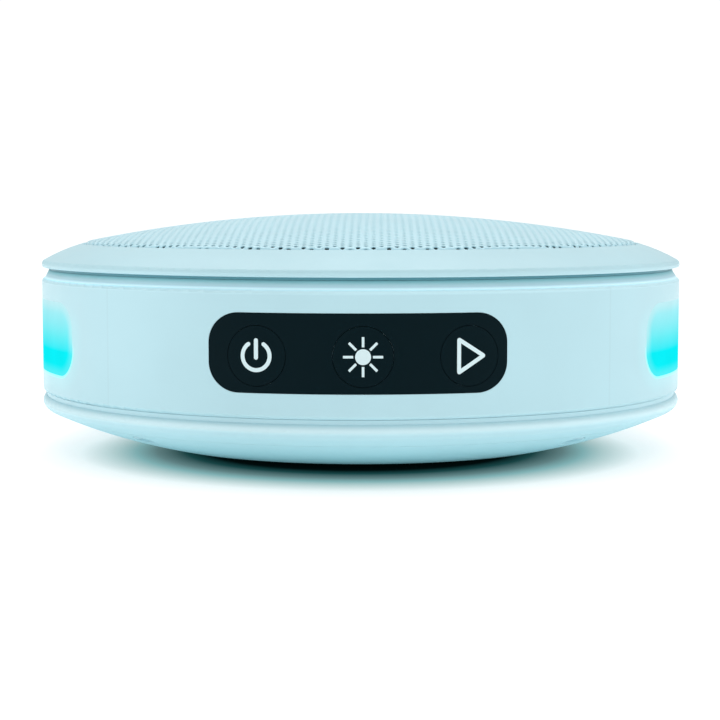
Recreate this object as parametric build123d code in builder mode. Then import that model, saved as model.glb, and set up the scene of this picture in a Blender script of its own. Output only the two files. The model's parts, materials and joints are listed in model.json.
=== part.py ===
from build123d import *
import math
import os

# Round portable speaker with side lights. Millimetres, +Z up.
# Origin: centre of the circle the speaker stands on. The front, with the keys, faces -Y.
# Angles round the body are counted from the front, positive towards +X (the user's right).

# Driving dimensions
band_radius = 64.0
total_height = 45.8
band_low = 10.9
band_high = 33.2
base_height = 0.3

band_inner_radius = 61.4
band_edge_radius = 0.7
seam_width = 0.15
contact_gap = 0.05

frame_inner_radius = 59.4
frame_outer_radius = 61.3

lip_radius = 64.05
lip_groove_radius = 63.3
cover_radius = 59.45
cover_wall = 1.9
foot_inner_radius = 31.0
foot_outer_radius = 38.0
foot_height = 1.3

baffle_radius = 63.5
groove_radius = 62.8
baffle_low = 31.6
baffle_high = 34.75
baffle_opening_radius = 37.6
bezel_low = baffle_high + contact_gap
bezel_inner_radius = 53.4
bezel_seat_radius = 55.75
bezel_seat_height = 37.6

grille_radius = 55.45
grille_crown_radius = 54.2
grille_crown_edge = 40.45
grille_sheet = 0.6
perforation_pitch = 6.4
perforation_radius = 1.4
perforated_radius = 51.5

window_height = 13.8
window_centre_height = 22.3
window_corner = 5.2
strip_width = 51.6
light_width = 71.0

key_radius = 5.2
key_clearance = 0.1
key_height = 21.8
key_angles = {"power": -15.8, "light": 0.85, "play": 17.5}
key_outer_radius = 64.05
key_inner_radius = 62.75
key_pocket_radius = 62.2
stem_radius = 2.0
stem_hole_radius = 2.2
stem_end_radius = 58.95
icon_outer_radius = 64.07
icon_floor_radius = 63.75
icon_stroke = 0.7

post_ring_radius = 55.5
post_radius = 2.9
post_angle = 45.0
post_low = 9.15
post_high = 31.55

board_low = 19.1
board_high = 20.7
port_height = 22.35
flap_width = 14.0
flap_top = 27.0
flap_inner_face = 62.3
flap_pivot_y = 63.3
flap_pivot_height = 17.9
flap_hinge_radius = 0.65

battery_radius = 9.2
battery_length = 65.0
battery_y = -38.0
battery_height = 18.2

outside = 70.0


# Planes and profiles that many pieces share


def direction(angle):
    """Unit vector pointing outwards at an angle round the body."""
    turn = math.radians(angle)
    return Vector(math.sin(turn), -math.cos(turn), 0)


def around(radius, angle, height):
    """A point at a radius, an angle round the body and a height."""
    return direction(angle) * radius + Vector(0, 0, height)


def facing_plane(angle, radius, height):
    """A plane that faces outwards, with its own y axis up."""
    return Plane(origin=around(radius, angle, height), x_dir=direction(angle + 90), z_dir=direction(angle))


def radial_plane(angle):
    """An upright plane through the axis: x runs outwards and y runs up."""
    return Plane(origin=(0, 0, 0), x_dir=direction(angle), z_dir=direction(angle - 90))


def ring_section(inner, outer, low, high, angle=0.0):
    """Rectangular section of a ring, ready to revolve about the axis."""
    with BuildSketch(radial_plane(angle)) as section:
        with Locations(((inner + outer) / 2, (low + high) / 2)):
            Rectangle(outer - inner, high - low)
    return section.sketch


def points_section(*points):
    """Straight-sided section through (radius, height) points."""
    with BuildSketch(radial_plane(0)) as section:
        with BuildLine():
            Polyline(*points, close=True)
        make_face()
    return section.sketch


def wrapped_block(outline, inner, outer):
    """The piece of a round shell that lies behind an outline drawn outside it."""
    with BuildPart() as block:
        extrude(outline, amount=inner - outside - 30)
        revolve(ring_section(inner, outer, 0, total_height), axis=Axis.Z, mode=Mode.INTERSECT)
    return block.part


def window_outline(angle, width, growth=0.0):
    """Rounded window outline, as seen from straight outside, with its sides moved out by growth."""
    with BuildSketch(facing_plane(angle, outside, window_centre_height)) as outline:
        RectangleRounded(width + 2 * growth, window_height + 2 * growth, window_corner + growth)
    return outline.sketch


def disc_outline(angle, radius, height=key_height):
    """Round outline, as seen from straight outside."""
    with BuildSketch(facing_plane(angle, outside, height)) as outline:
        Circle(radius)
    return outline.sketch


def arc_block(inner, outer, low, high, centre_angle, half_angle):
    """A curved plate centred on an angle."""
    with BuildPart() as block:
        revolve(
            ring_section(inner, outer, low, high, centre_angle - half_angle),
            axis=Axis.Z,
            revolution_arc=2 * half_angle,
        )
    return block.part


def wire(radius, *points):
    """A round wire through the given points."""
    with BuildPart() as run:
        with BuildLine() as path:
            Spline(*points)
        with BuildSketch(Plane(origin=path.line @ 0, z_dir=path.line % 0)):
            Circle(radius)
        sweep()
    return run.part


# Grille: a pressed dome whose rim rolls down into the bezel


def dome_height(radius, top, rim_radius, rise):
    """Height at a radius of a spherical dome that rises from its rim to its top."""
    sphere = (rim_radius**2 + rise**2) / (2 * rise)
    return top - sphere + math.sqrt(sphere**2 - radius**2)


def crown_height(radius, top=total_height):
    """Height of the grille's dome at a radius."""
    return dome_height(radius, top, grille_crown_radius, total_height - grille_crown_edge)


def perforation_centres():
    """Staggered rows of holes that fill the dome."""
    row_step = perforation_pitch * math.sqrt(3) / 2
    rows = int(perforated_radius / row_step)
    centres = []
    for row in range(-rows, rows + 1):
        shift = perforation_pitch / 2 * (row % 2)
        for column in range(-rows - 1, rows + 2):
            x = row * row_step
            y = column * perforation_pitch + shift
            if math.hypot(x, y) < perforated_radius:
                centres.append((x, y))
    return centres


rim_low = bezel_seat_height + contact_gap
inner_top = total_height - grille_sheet

with BuildPart() as grille:
    with BuildSketch(radial_plane(0)):
        with BuildLine():
            ThreePointArc(
                (0, total_height),
                (27, crown_height(27)),
                (grille_crown_radius, grille_crown_edge),
            )
            ThreePointArc((grille_crown_radius, grille_crown_edge), (55.15, 40.0), (grille_radius, 39.3))
            Polyline(
                (grille_radius, 39.3),
                (grille_radius, rim_low),
                (grille_radius - grille_sheet, rim_low),
                (grille_radius - grille_sheet, 39.2),
            )
            ThreePointArc((grille_radius - grille_sheet, 39.2), (54.6, 39.65), (54.0, 39.88))
            ThreePointArc((54.0, 39.88), (27, crown_height(27, inner_top)), (0, inner_top))
            Line((0, inner_top), (0, total_height))
        make_face()
    revolve(axis=Axis.Z)
    with BuildSketch(Plane.XY.offset(bezel_seat_height)):
        with Locations(*perforation_centres()):
            Circle(perforation_radius)
    extrude(amount=10, mode=Mode.SUBTRACT)

cloth_radius = 53.0
cloth_top = inner_top - 0.1
cloth_low = cloth_top - 0.35

with BuildPart() as grille_cloth:
    with BuildSketch(radial_plane(0)):
        with BuildLine():
            top_edge = (cloth_radius, crown_height(cloth_radius, cloth_top))
            low_edge = (cloth_radius, crown_height(cloth_radius, cloth_low))
            ThreePointArc((0, cloth_top), (27, crown_height(27, cloth_top)), top_edge)
            Line(top_edge, low_edge)
            ThreePointArc(low_edge, (27, crown_height(27, cloth_low)), (0, cloth_low))
            Line((0, cloth_low), (0, cloth_top))
        make_face()
    revolve(axis=Axis.Z)

# Bezel: sloped ring between the grille and the band, cored underneath

bezel_screw_radius = 57.0
bezel_screw_height = 37.0

with BuildPart() as top_bezel:
    with BuildSketch(radial_plane(0)):
        with BuildLine():
            Polyline(
                (bezel_inner_radius, bezel_low),
                (groove_radius - 0.2, bezel_low),
                (groove_radius - 0.2, 35.3),
                (63.75, 35.3),
            )
            ThreePointArc((63.75, 35.3), (63.93, 35.37), (band_radius, 35.55))
            Line((band_radius, 35.55), (band_radius, 35.95))
            ThreePointArc((band_radius, 35.95), (63.87, 36.38), (63.5, 36.7))
            ThreePointArc((63.5, 36.7), (60.3, 38.3), (56.3, 39.75))
            ThreePointArc((56.3, 39.75), (55.92, 39.75), (bezel_seat_radius, 39.45))
            Polyline(
                (bezel_seat_radius, 39.45),
                (bezel_seat_radius, bezel_seat_height),
                (bezel_inner_radius, bezel_seat_height),
                (bezel_inner_radius, bezel_low),
            )
        make_face()
    revolve(axis=Axis.Z)
    revolve(ring_section(58.8, 62.0, bezel_low, 36.1), axis=Axis.Z, mode=Mode.SUBTRACT)
    with BuildSketch(Plane.XY.offset(bezel_low)):
        with PolarLocations(bezel_screw_radius, 4):
            Circle(1.02)
    extrude(amount=bezel_screw_height + 0.1 - bezel_low, mode=Mode.SUBTRACT)

# Baffle: the plate that carries the driver. Its rim is the floor of the upper groove

driver_screw_radius = 42.2

with BuildPart() as baffle:
    with BuildSketch(radial_plane(0)):
        with BuildLine():
            Polyline(
                (groove_radius - 0.2, baffle_high),
                (baffle_opening_radius, baffle_high),
                (baffle_opening_radius, band_high + contact_gap),
                (baffle_radius, band_high + contact_gap),
            )
            ThreePointArc(
                (baffle_radius, band_high + contact_gap),
                (groove_radius + 0.2, 33.8),
                (groove_radius - 0.2, baffle_high),
            )
        make_face()
    revolve(axis=Axis.Z)
    revolve(
        ring_section(baffle_opening_radius, frame_inner_radius - 0.2, baffle_low, band_high + contact_gap),
        axis=Axis.Z,
    )
    with BuildSketch(Plane.XY.offset(baffle_low)):
        with PolarLocations(bezel_screw_radius, 4):
            Circle(1.1)
        with PolarLocations(driver_screw_radius, 4, start_angle=post_angle):
            Circle(1.22)
        with PolarLocations(post_ring_radius, 4, start_angle=post_angle):
            Circle(1.35)
    extrude(amount=baffle_high - baffle_low, mode=Mode.SUBTRACT)
    with BuildSketch(Plane.XY.offset(baffle_high)):
        with PolarLocations(post_ring_radius, 4, start_angle=post_angle):
            Circle(2.4)
    extrude(amount=-1.4, mode=Mode.SUBTRACT)

# Middle frame: the hoop inside the band, with its screw posts, board ledges and openings

rib_offset_angle = 40.5
rib_width = 3.0
rib_length = 8.0


def rib_outline(angle, growth=0.0):
    """Outline of a locating rib between the band and the middle frame."""
    with BuildSketch(facing_plane(angle, outside, window_centre_height)) as outline:
        Rectangle(rib_width + 2 * growth, rib_length + 2 * growth)
    return outline.sketch


def radial_box(angle, inner, outer, low, high, width):
    """A box that runs outwards at an angle."""
    with BuildPart() as box:
        with BuildSketch(facing_plane(angle, inner, (low + high) / 2)):
            Rectangle(width, high - low)
        extrude(amount=outer - inner)
    return box.part


rib_angles = [quarter + side * rib_offset_angle for quarter in (0, 90, 180, 270) for side in (-1, 1)]

with BuildPart() as mid_frame:
    revolve(ring_section(frame_inner_radius, frame_outer_radius, band_low, band_high), axis=Axis.Z)
    for corner in (45, 135, 225, 315):
        add(radial_box(corner, post_ring_radius, 60.0, 13.2, post_high, 3.0))
    for side in (-1, 1):
        add(radial_box(side * 27.5, 56.0, 60.0, 16.0, 28.0, 1.5))
        add(radial_box(180 + side * 24, 50.0, 60.0, 17.4, board_low - contact_gap, 4.0))
    with BuildSketch(Plane.XY.offset(post_low)):
        with PolarLocations(post_ring_radius, 4, start_angle=post_angle):
            Circle(post_radius)
    extrude(amount=post_high - post_low)
    with BuildSketch(Plane.XY.offset(post_low)):
        with PolarLocations(post_ring_radius, 4, start_angle=post_angle):
            Circle(1.27)
    extrude(amount=post_high - post_low, mode=Mode.SUBTRACT)
    for angle in key_angles.values():
        extrude(disc_outline(angle, stem_hole_radius), amount=-20, mode=Mode.SUBTRACT)
    for side in (-90, 90):
        add(wrapped_block(window_outline(side, light_width - 5, -0.8), 58.5, 62.5), mode=Mode.SUBTRACT)
    for angle in rib_angles:
        add(wrapped_block(rib_outline(angle, 0.1), 60.2, 62.0), mode=Mode.SUBTRACT)
    add(radial_box(180, 55.0, 64.0, port_height - 3.0, port_height + 3.2, 12.0), mode=Mode.SUBTRACT)

# Band: one moulded ring with rounded outer edges, locating ribs and its openings


def band_section():
    """Section of the band's wall with its two outer corners rounded."""
    r = band_edge_radius
    k = r * (1 - math.sqrt(0.5))
    with BuildSketch(radial_plane(0)) as section:
        with BuildLine():
            Line((band_inner_radius, band_low), (band_radius - r, band_low))
            ThreePointArc(
                (band_radius - r, band_low),
                (band_radius - k, band_low + k),
                (band_radius, band_low + r),
            )
            Line((band_radius, band_low + r), (band_radius, band_high - r))
            ThreePointArc(
                (band_radius, band_high - r),
                (band_radius - k, band_high - k),
                (band_radius - r, band_high),
            )
            Line((band_radius - r, band_high), (band_inner_radius, band_high))
            Line((band_inner_radius, band_high), (band_inner_radius, band_low))
        make_face()
    return section.sketch


flap_pocket_low = flap_pivot_height - flap_hinge_radius - 0.1
flap_pocket_high = flap_top + 0.1
flap_pocket_width = flap_width + 0.2

lens_flange_growth = 1.5
lens_flange_radius = 62.2

with BuildPart() as band:
    revolve(band_section(), axis=Axis.Z)
    for angle in rib_angles:
        add(wrapped_block(rib_outline(angle), 60.3, band_inner_radius + 0.2))
    # Pocket for the control strip, with a hole for each key's stem
    strip_pocket = window_outline(0, strip_width, contact_gap)
    add(wrapped_block(strip_pocket, key_pocket_radius, 66.0), mode=Mode.SUBTRACT)
    for angle in key_angles.values():
        extrude(disc_outline(angle, stem_hole_radius), amount=-20, mode=Mode.SUBTRACT)
    # Stepped windows for the two lenses
    for side in (-90, 90):
        window = window_outline(side, light_width, contact_gap)
        seat = window_outline(side, light_width, lens_flange_growth + contact_gap)
        add(wrapped_block(window, 60.0, 66.0), mode=Mode.SUBTRACT)
        add(wrapped_block(seat, 60.0, lens_flange_radius + contact_gap), mode=Mode.SUBTRACT)
    # Pocket for the port flap, room for its hinge, a finger notch and the port's opening
    with BuildSketch(Plane(origin=(0, flap_inner_face - 0.1, 0), x_dir=(-1, 0, 0), z_dir=(0, 1, 0))):
        with Locations((0, (flap_pocket_low + flap_pocket_high) / 2)):
            Rectangle(flap_pocket_width, flap_pocket_high - flap_pocket_low)
    extrude(amount=5, mode=Mode.SUBTRACT)
    with BuildSketch(Plane.YZ.offset(-flap_pocket_width / 2)):
        with Locations((flap_pivot_y, flap_pivot_height)):
            Circle(flap_hinge_radius + 0.35)
    extrude(amount=flap_pocket_width, mode=Mode.SUBTRACT)
    with BuildSketch(Plane.YZ.offset(-3)):
        with Locations((64.4, flap_pocket_high + 0.4)):
            Circle(1.3)
    extrude(amount=6, mode=Mode.SUBTRACT)
    with BuildSketch(facing_plane(180, 58, port_height + 0.3)):
        RectangleRounded(10.4, 6.4, 2.2)
    extrude(amount=8, mode=Mode.SUBTRACT)


def light_lens(side):
    """Flush diffuser with a flange that keeps it behind the band."""
    with BuildPart() as lens:
        add(wrapped_block(window_outline(side, light_width), band_inner_radius, band_radius))
        flange = window_outline(side, light_width, lens_flange_growth)
        add(wrapped_block(flange, band_inner_radius, lens_flange_radius))
    return lens.part


def light_box(side):
    """White tunnel that keeps the light between the board and the lens."""
    with BuildPart() as box:
        add(wrapped_block(window_outline(side, light_width - 5, -1.1), 57.0, 61.35))
        add(wrapped_block(window_outline(side, light_width - 5, -2.2), 56.0, 62.0), mode=Mode.SUBTRACT)
    return box.part


led_angles = (-22, -11, 0, 11, 22)


def light_leds(side):
    """A row of surface-mount lamps along the board."""
    with BuildPart() as lamps:
        for angle in led_angles:
            with BuildSketch(facing_plane(side + angle, 56.95, window_centre_height)):
                Rectangle(3.5, 2.8)
            extrude(amount=1.3)
    return lamps.part


with BuildPart() as left_light_lens:
    add(light_lens(-90))

with BuildPart() as right_light_lens:
    add(light_lens(90))

with BuildPart() as left_light_box:
    add(light_box(-90))

with BuildPart() as right_light_box:
    add(light_box(90))

with BuildPart() as left_led_board:
    add(arc_block(56.0, 56.75, 17.4, 27.2, -90, 26))

with BuildPart() as right_led_board:
    add(arc_block(56.0, 56.75, 17.4, 27.2, 90, 26))

with BuildPart() as left_leds:
    add(light_leds(-90))

with BuildPart() as right_leds:
    add(light_leds(90))

# Control strip and its three keys. Each key is pushed straight in and carries a white inlay

with BuildPart() as control_strip:
    add(wrapped_block(window_outline(0, strip_width), key_pocket_radius + contact_gap, key_outer_radius))
    for angle in key_angles.values():
        extrude(disc_outline(angle, key_radius + key_clearance), amount=-20, mode=Mode.SUBTRACT)


def icon_plane(angle):
    """Plane outside a key, on which its symbol is drawn."""
    return facing_plane(angle, outside, key_height)


def power_outline(angle):
    """An open ring with an upright bar in its gap."""
    ring_radius = 2.8
    end_x = (ring_radius - icon_stroke / 2) * math.sin(math.radians(34))
    end_y = (ring_radius - icon_stroke / 2) * math.cos(math.radians(34))
    with BuildSketch(icon_plane(angle)) as outline:
        Circle(ring_radius)
        Circle(ring_radius - icon_stroke, mode=Mode.SUBTRACT)
        with BuildLine():
            Polyline((0, 0), (-2 * end_x, 2 * end_y), (2 * end_x, 2 * end_y), close=True)
        make_face(mode=Mode.SUBTRACT)
        with Locations((-end_x, end_y), (end_x, end_y)):
            Circle(icon_stroke / 2)
        with Locations((0, 1.2)):
            SlotOverall(3.68, 0.74, rotation=90)
    return outline.sketch


def sun_outline(angle):
    """A disc with eight rays."""
    with BuildSketch(icon_plane(angle)) as outline:
        Circle(1.36)
        with PolarLocations(2.55, 8):
            Rectangle(1.74, 0.44)
    return outline.sketch


def play_outline(angle):
    """An outlined triangle that points to the right."""
    with BuildSketch(icon_plane(angle)) as outline:
        with BuildLine():
            Polyline((-2.3, 3.45), (-2.3, -3.45), (3.15, 0), close=True)
        make_face()
        offset(amount=-icon_stroke, kind=Kind.INTERSECTION, mode=Mode.SUBTRACT)
        fillet(outline.faces()[0].outer_wire().vertices(), 0.4)
    return outline.sketch


def key_cap(angle, symbol):
    """A key: curved cap with a pocket for its symbol, a stem and a snap collar."""
    with BuildPart() as cap:
        add(wrapped_block(disc_outline(angle, key_radius), key_inner_radius, key_outer_radius))
        with BuildSketch(facing_plane(angle, stem_end_radius, key_height)):
            Circle(stem_radius)
        extrude(amount=key_inner_radius + 0.3 - stem_end_radius)
        with BuildSketch(facing_plane(angle, stem_end_radius, key_height)):
            Circle(stem_radius + 0.6)
        extrude(amount=0.3)
        add(wrapped_block(symbol, icon_floor_radius, 66.0), mode=Mode.SUBTRACT)
    return cap.part


key_symbols = {
    "power": power_outline(key_angles["power"]),
    "light": sun_outline(key_angles["light"]),
    "play": play_outline(key_angles["play"]),
}

with BuildPart() as power_key:
    add(key_cap(key_angles["power"], key_symbols["power"]))

with BuildPart() as light_key:
    add(key_cap(key_angles["light"], key_symbols["light"]))

with BuildPart() as play_key:
    add(key_cap(key_angles["play"], key_symbols["play"]))

with BuildPart() as power_icon:
    add(wrapped_block(key_symbols["power"], icon_floor_radius, icon_outer_radius))

with BuildPart() as light_icon:
    add(wrapped_block(key_symbols["light"], icon_floor_radius, icon_outer_radius))

with BuildPart() as play_icon:
    add(wrapped_block(key_symbols["play"], icon_floor_radius, icon_outer_radius))

with BuildPart() as key_board:
    add(arc_block(56.0, 56.6, 16.5, 27.5, 0, 25.5))

with BuildPart() as key_switches:
    for angle in key_angles.values():
        with BuildSketch(facing_plane(angle, 56.65, key_height)):
            RectangleRounded(4.2, 4.2, 0.4)
        extrude(amount=1.4)
        with BuildSketch(facing_plane(angle, 58.0, key_height)):
            Circle(1.0)
        extrude(amount=0.5)

# Lower housing: lip and outer cone, with the dished cover inside it


def underside_profile(lift):
    """Points of the dished underside, raised by lift: inner edge, middle and outer edge."""
    return (41.9, base_height + lift), (53.0, 3.36 + lift), (62.9, 7.27 + lift)


flange_low = 7.6
flange_high = 9.1
land_height = band_low - contact_gap

with BuildPart() as bottom_shell:
    with BuildSketch(radial_plane(0)):
        with BuildLine():
            inner_edge, middle, outer_edge = underside_profile(0)
            ThreePointArc(inner_edge, middle, outer_edge)
            ThreePointArc(outer_edge, (63.75, 7.99), (lip_radius, 8.6))
            ThreePointArc((lip_radius, 8.6), (63.92, 9.45), (63.4, 10.05))
            Polyline(
                (63.4, 10.05),
                (lip_groove_radius, 10.05),
                (lip_groove_radius, land_height),
                (59.2, land_height),
                (59.2, 13.0),
                (57.6, 13.0),
                (57.6, flange_high),
                (51.5, flange_high),
                (51.5, flange_low),
                (inner_edge[0], flange_low),
                inner_edge,
            )
        make_face()
    revolve(axis=Axis.Z)
    revolve(ring_section(0, cover_radius + seam_width, 0, flange_low), axis=Axis.Z, mode=Mode.SUBTRACT)
    revolve(ring_section(59.9, 60.9, 10.05, land_height), axis=Axis.Z, mode=Mode.SUBTRACT)
    with BuildSketch(Plane.XY.offset(flange_low)):
        with PolarLocations(post_ring_radius, 4, start_angle=post_angle):
            Circle(1.35)
    extrude(amount=3, mode=Mode.SUBTRACT)
    with BuildSketch(Plane.XY.offset(flange_high)):
        with PolarLocations(post_ring_radius, 4, start_angle=post_angle):
            Circle(post_radius + 0.2)
    extrude(amount=6, mode=Mode.SUBTRACT)
    circles = bottom_shell.edges().filter_by(GeomType.CIRCLE).sort_by(Axis.Z)
    fillet(circles.filter_by(lambda e: abs(e.radius - cover_radius - seam_width) < 0.01)[0], 0.2)

with BuildPart() as base_gasket:
    revolve(ring_section(59.95, 60.85, 10.1, band_low - 0.01), axis=Axis.Z)

saddle_x = 18.0
saddle_length = 8.0
saddle_low = 4.1
saddle_height = 9.0
cover_high = flange_low - contact_gap
base_screw_seat = 6.1

with BuildPart() as base_cover:
    with BuildSketch(radial_plane(0)):
        with BuildLine():
            inner_edge, middle, outer_edge = underside_profile(0)
            lifted_inner, lifted_middle, lifted_outer = underside_profile(cover_wall)
            Line((0, base_height), inner_edge)
            ThreePointArc(inner_edge, middle, outer_edge)
            Line(outer_edge, lifted_outer)
            ThreePointArc(lifted_outer, lifted_middle, lifted_inner)
            Polyline(lifted_inner, (0, base_height + cover_wall), (0, base_height))
        make_face()
    revolve(axis=Axis.Z)
    revolve(ring_section(57.6, cover_radius, 5.2, cover_high), axis=Axis.Z)
    with BuildSketch(Plane.XY.offset(4.0)):
        with PolarLocations(post_ring_radius, 4, start_angle=post_angle):
            Circle(3.4)
    extrude(amount=cover_high - 4.0)
    with BuildSketch(Plane.XY.offset(base_height + 1.2)):
        with Locations((-saddle_x, battery_y), (saddle_x, battery_y)):
            Rectangle(saddle_length, 9)
    extrude(amount=saddle_low - contact_gap - base_height - 1.2)
    # Trims everything to the underside, the rim and the top
    with BuildSketch(radial_plane(0)):
        with BuildLine():
            Polyline(outer_edge, (outer_edge[0], cover_high), (0, cover_high), (0, base_height), inner_edge)
            ThreePointArc(inner_edge, middle, outer_edge)
        make_face()
    revolve(axis=Axis.Z, mode=Mode.INTERSECT)
    revolve(ring_section(cover_radius, outside, 0, total_height), axis=Axis.Z, mode=Mode.SUBTRACT)
    revolve(
        ring_section(foot_inner_radius - 0.1, foot_outer_radius + 0.1, 0, foot_height + contact_gap),
        axis=Axis.Z,
        mode=Mode.SUBTRACT,
    )
    with BuildSketch(Plane.XY):
        with PolarLocations(post_ring_radius, 4, start_angle=post_angle):
            Circle(1.35)
    extrude(amount=flange_low, mode=Mode.SUBTRACT)
    with BuildSketch(Plane.XY):
        with PolarLocations(post_ring_radius, 4, start_angle=post_angle):
            Circle(2.4)
    extrude(amount=base_screw_seat, mode=Mode.SUBTRACT)
    circles = base_cover.edges().filter_by(GeomType.CIRCLE).sort_by(Axis.Z)
    fillet(circles.filter_by(lambda e: abs(e.radius - cover_radius) < 0.01)[0], 0.2)

with BuildPart() as foot_ring:
    with BuildSketch(radial_plane(0)):
        with Locations(((foot_inner_radius + foot_outer_radius) / 2, foot_height / 2)):
            Rectangle(foot_outer_radius - foot_inner_radius, foot_height)
    revolve(axis=Axis.Z)
    fillet(foot_ring.edges().group_by(Axis.Z)[0], 0.25)

# Battery and its saddles

battery_plane = Plane.YZ.offset(-battery_length / 2)

with BuildPart() as battery:
    with BuildSketch(battery_plane):
        with Locations((battery_y, battery_height)):
            Circle(battery_radius)
    extrude(amount=battery_length)
    fillet(battery.edges(), 0.6)
    with BuildSketch(Plane.YZ.offset(battery_length / 2)):
        with Locations((battery_y, battery_height)):
            Circle(3)
    extrude(amount=0.7)

with BuildPart() as battery_cradle:
    with BuildSketch(Plane.XY.offset(saddle_low)):
        with Locations((-saddle_x, battery_y), (saddle_x, battery_y)):
            Rectangle(saddle_length, 9)
    extrude(amount=saddle_height)
    with BuildSketch(Plane.XY.offset(saddle_low)):
        with Locations((-saddle_x, battery_y), (saddle_x, battery_y)):
            Rectangle(2.4, 14)
    extrude(amount=saddle_height)
    with BuildSketch(battery_plane):
        with Locations((battery_y, battery_height)):
            Circle(battery_radius + contact_gap)
    extrude(amount=battery_length, mode=Mode.SUBTRACT)

# Main board, its parts and the charging port

with BuildPart() as main_board:
    with BuildSketch(Plane.XY.offset(board_low)):
        with Locations((0, 40.5)):
            Rectangle(52, 19)
        with Locations((0, 53)):
            Rectangle(16, 7)
    extrude(amount=board_high - board_low)

with BuildPart() as bluetooth_module:
    with BuildSketch(Plane.XY.offset(board_high)):
        with Locations((-12, 42)):
            Rectangle(13, 12)
    extrude(amount=0.8)
    with BuildSketch(Plane.XY.offset(board_high + 0.8)):
        with Locations((-12, 41)):
            RectangleRounded(12, 8.5, 0.5)
    extrude(amount=1.4)

with BuildPart() as amplifier_chip:
    with BuildSketch(Plane.XY.offset(board_high)):
        with Locations((4, 38)):
            Rectangle(6.5, 6.5)
    extrude(amount=1.0)
    chamfer(amplifier_chip.faces().sort_by(Axis.Z)[-1].edges(), 0.2)

with BuildPart() as board_parts:
    with BuildSketch(Plane.XY.offset(board_high)):
        with Locations((18, 36), (18, 44.5)):
            Circle(3.1)
    extrude(amount=6.5)
    with BuildSketch(Plane.XY.offset(board_high)):
        with Locations((10.5, 35.5), (10.5, 42)):
            RectangleRounded(5, 5, 0.8)
    extrude(amount=2.8)
    with BuildSketch(Plane.XY.offset(board_high)):
        with Locations((1, 46), (4, 46), (7, 46)):
            Rectangle(1.2, 2.0)
    extrude(amount=0.7)

with BuildPart() as usb_socket:
    with BuildSketch(facing_plane(180, 53.6, port_height)):
        RectangleRounded(8.94, 3.2, 1.55)
    extrude(amount=7.3)
    with BuildSketch(facing_plane(180, 54.6, port_height)):
        RectangleRounded(8.34, 2.56, 1.25)
    extrude(amount=7, mode=Mode.SUBTRACT)
    with BuildSketch(facing_plane(180, 54.3, port_height)):
        Rectangle(6.7, 0.7)
    extrude(amount=5.8)

with BuildPart() as port_cover:
    with BuildSketch(Plane(origin=(0, flap_inner_face, 0), x_dir=(-1, 0, 0), z_dir=(0, 1, 0))) as flap_face:
        with Locations((0, (flap_pivot_height + flap_top) / 2)):
            Rectangle(flap_width, flap_top - flap_pivot_height)
        fillet(flap_face.vertices().group_by(Axis.Z)[-1], 2.4)
    extrude(amount=3)
    with BuildSketch(Plane.YZ.offset(-flap_width / 2)):
        with Locations((flap_pivot_y, flap_pivot_height)):
            Circle(flap_hinge_radius)
    extrude(amount=flap_width)
    with BuildSketch(facing_plane(180, 61.2, port_height)):
        RectangleRounded(8.2, 2.4, 1.1)
    extrude(amount=1.3)
    revolve(ring_section(0, band_radius - contact_gap, 0, total_height), axis=Axis.Z, mode=Mode.INTERSECT)

# Driver, glued up from its frame, motor and cone

flange_seat = 35.3
flange_top = 36.3

with BuildPart() as driver_gasket:
    revolve(ring_section(37.8, 40.8, baffle_high, flange_seat), axis=Axis.Z)

with BuildPart() as driver_frame:
    revolve(
        points_section(
            (44.3, flange_seat),
            (44.3, flange_top),
            (35.6, flange_top),
            (35.6, 33.6),
            (24.6, 22.9),
            (20.4, 22.9),
            (20.4, 21.4),
            (11.0, 21.4),
            (11.0, 20.2),
            (21.0, 20.2),
            (25.2, 21.4),
            (36.9, 33.0),
            (36.9, flange_seat),
        ),
        axis=Axis.Z,
    )
    for angle in (45, 135, 225, 315):
        window = ring_section(26.8, 34.4, 20, flange_top, angle - 30)
        revolve(window, axis=Axis.Z, revolution_arc=60, mode=Mode.SUBTRACT)
    with BuildSketch(Plane.XY.offset(flange_seat)):
        with PolarLocations(driver_screw_radius, 4, start_angle=post_angle):
            Circle(1.35)
    extrude(amount=2, mode=Mode.SUBTRACT)

with BuildPart() as top_plate:
    revolve(ring_section(8.95, 19.0, 17.6, 20.2), axis=Axis.Z)

with BuildPart() as magnet:
    revolve(ring_section(10.8, 21.0, 12.4, 17.6), axis=Axis.Z)
    chamfer(magnet.edges().filter_by(GeomType.CIRCLE).group_by(lambda e: round(e.radius))[-1], 0.4)

with BuildPart() as yoke:
    revolve(ring_section(0, 20.0, 9.6, 12.4), axis=Axis.Z)
    revolve(ring_section(0, 8.0, 12.4, 20.1), axis=Axis.Z)
    chamfer(yoke.edges().filter_by(GeomType.CIRCLE).sort_by(Axis.Z)[0], 0.6)

with BuildPart() as voice_coil:
    revolve(ring_section(8.2, 8.4, 14.8, 26.4), axis=Axis.Z)
    revolve(ring_section(8.4, 8.75, 16.4, 21.4), axis=Axis.Z)

spider_folds = 5
spider_fold_pitch = 2.0
spider_start_radius = 10.4
spider_height = 22.9
spider_sheet = 0.3


def spider_outline():
    """Flat inner ring, a row of folds and a flat outer ring."""
    lower = [(8.45, spider_height)]
    for fold in range(spider_folds):
        start = spider_start_radius + fold * spider_fold_pitch
        lower.append((start, spider_height))
        lower.append((start + 0.5, spider_height + 0.6))
        lower.append((start + 1.0, spider_height))
        lower.append((start + 1.5, spider_height - 0.6))
    lower.append((spider_start_radius + spider_folds * spider_fold_pitch, spider_height))
    lower.append((24.2, spider_height))
    upper = [(radius, height + spider_sheet) for radius, height in reversed(lower)]
    return lower + upper


with BuildPart() as spider:
    revolve(points_section(*spider_outline()), axis=Axis.Z)

with BuildPart() as cone:
    revolve(
        points_section((8.45, 25.0), (8.45, 25.8), (30.2, 35.3), (31.5, 35.3), (31.5, 34.8), (30.3, 34.8)),
        axis=Axis.Z,
    )

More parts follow.
